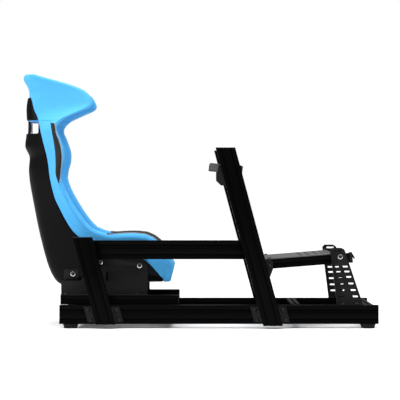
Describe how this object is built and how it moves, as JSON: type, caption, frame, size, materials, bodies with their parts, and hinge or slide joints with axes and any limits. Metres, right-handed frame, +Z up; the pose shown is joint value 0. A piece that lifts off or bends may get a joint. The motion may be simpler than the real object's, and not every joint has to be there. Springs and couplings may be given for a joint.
{
  "type": "racing seat cockpit",
  "caption": "Bucket seat with head wings on a leaning-post frame of slotted aluminium profiles, with an adjustable wheel deck and a hinged pedal deck.",
  "frame": {"origin": "middle of the model's footprint, on the floor under the feet", "axes": "+X towards the pedals, +Z up, +Y to the driver's left"},
  "size_m": [1.5222, 0.6606, 1.087],
  "materials": {
    "anodised_profile": "black anodised, satin",
    "coated_steel": "black powder coat, fine texture",
    "zinc_bolts": "bright zinc plate",
    "end_caps": "moulded, fine grain",
    "rubber_feet": "matt rubber",
    "seat_shell": "glossy gelcoat over glass fibre",
    "seat_fabric": "bright blue woven seat cloth",
    "deck_plates": "grey powder coat"
  },
  "bodies": {
    "chassis": {"base_rail_left": "anodised_profile", "base_rail_right": "anodised_profile", "upper_rail_right": "anodised_profile", "seat_rail_left": "anodised_profile", "seat_rail_right": "anodised_profile", "rear_upright_right": "anodised_profile", "front_upright_left": "anodised_profile", "front_upright_right": "anodised_profile", "rear_upright_cap_right": "end_caps", "front_upright_cap_left": "end_caps", "front_upright_cap_right": "end_caps", "rear_foot_left": "rubber_feet", "rear_foot_right": "rubber_feet", "front_foot_left": "rubber_feet", "front_foot_right": "rubber_feet", "rear_angle_behind_right": "coated_steel", "rear_angle_ahead_right": "coated_steel", "front_angle_behind_left": "coated_steel", "front_angle_behind_right": "coated_steel", "front_angle_ahead_left": "coated_steel", "front_angle_ahead_right": "coated_steel", "pedal_tower_left": "coated_steel", "pedal_tower_right": "coated_steel", "pedal_gusset_left": "coated_steel", "pedal_gusset_right": "coated_steel", "rear_cross_member": "anodised_profile", "seat_cross_member": "anodised_profile", "middle_cross_member": "anodised_profile", "front_cross_member": "anodised_profile"},
    "seat_carriage": {"seat_bracket_left": "coated_steel", "seat_bracket_right": "coated_steel"},
    "seat": {"seat_shell": "seat_shell", "seat_front_roll": "seat_fabric", "seat_cushion": "seat_fabric", "back_cushion": "seat_fabric", "headrest": "seat_fabric", "thigh_bolster_left": "seat_fabric", "thigh_bolster_right": "seat_fabric", "torso_bolster_left": "seat_fabric", "torso_bolster_right": "seat_fabric", "seat_pivot_bolt_left": "zinc_bolts", "seat_pivot_bolt_right": "zinc_bolts", "seat_tilt_bolt_left": "zinc_bolts", "seat_tilt_bolt_right": "zinc_bolts"},
    "wheel_carriage": {"wheel_side_plate_left": "coated_steel", "wheel_side_plate_right": "coated_steel", "wheel_pivot_bolt_left": "zinc_bolts", "wheel_pivot_bolt_right": "zinc_bolts"},
    "wheel_plate": {"wheel_plate": "deck_plates"},
    "pedal_deck": {"pedal_plate": "deck_plates", "pedal_cross_rail": "anodised_profile", "pedal_rail_left": "anodised_profile", "pedal_rail_right": "anodised_profile", "pedal_latch_left": "end_caps", "pedal_latch_right": "end_caps", "pedal_pivot_bolt_left": "zinc_bolts", "pedal_pivot_bolt_right": "zinc_bolts"}
  },
  "joints": [
    {"name": "seat_slide", "type": "slide", "parent": "chassis", "child": "seat_carriage", "axis": [1, 0, 0], "range_m": [0, 0.13]},
    {"name": "seat_tilt", "type": "hinge", "parent": "seat_carriage", "child": "seat", "pos_m": [-0.2529, 0, 0.263], "axis": [0, 1, 0], "range_deg": [-4, 6]},
    {"name": "wheel_height", "type": "slide", "parent": "chassis", "child": "wheel_carriage", "axis": [-0.2588, 0, 0.9659], "range_m": [-0.18, 0.05]},
    {"name": "wheel_tilt", "type": "hinge", "parent": "wheel_carriage", "child": "wheel_plate", "pos_m": [0.1171, 0, 0.681], "axis": [0, 1, 0], "range_deg": [-12, 12]},
    {"name": "pedal_tilt", "type": "hinge", "parent": "chassis", "child": "pedal_deck", "pos_m": [0.3031, 0, 0.262], "axis": [0, 1, 0], "range_deg": [0, 24]}
  ]
}
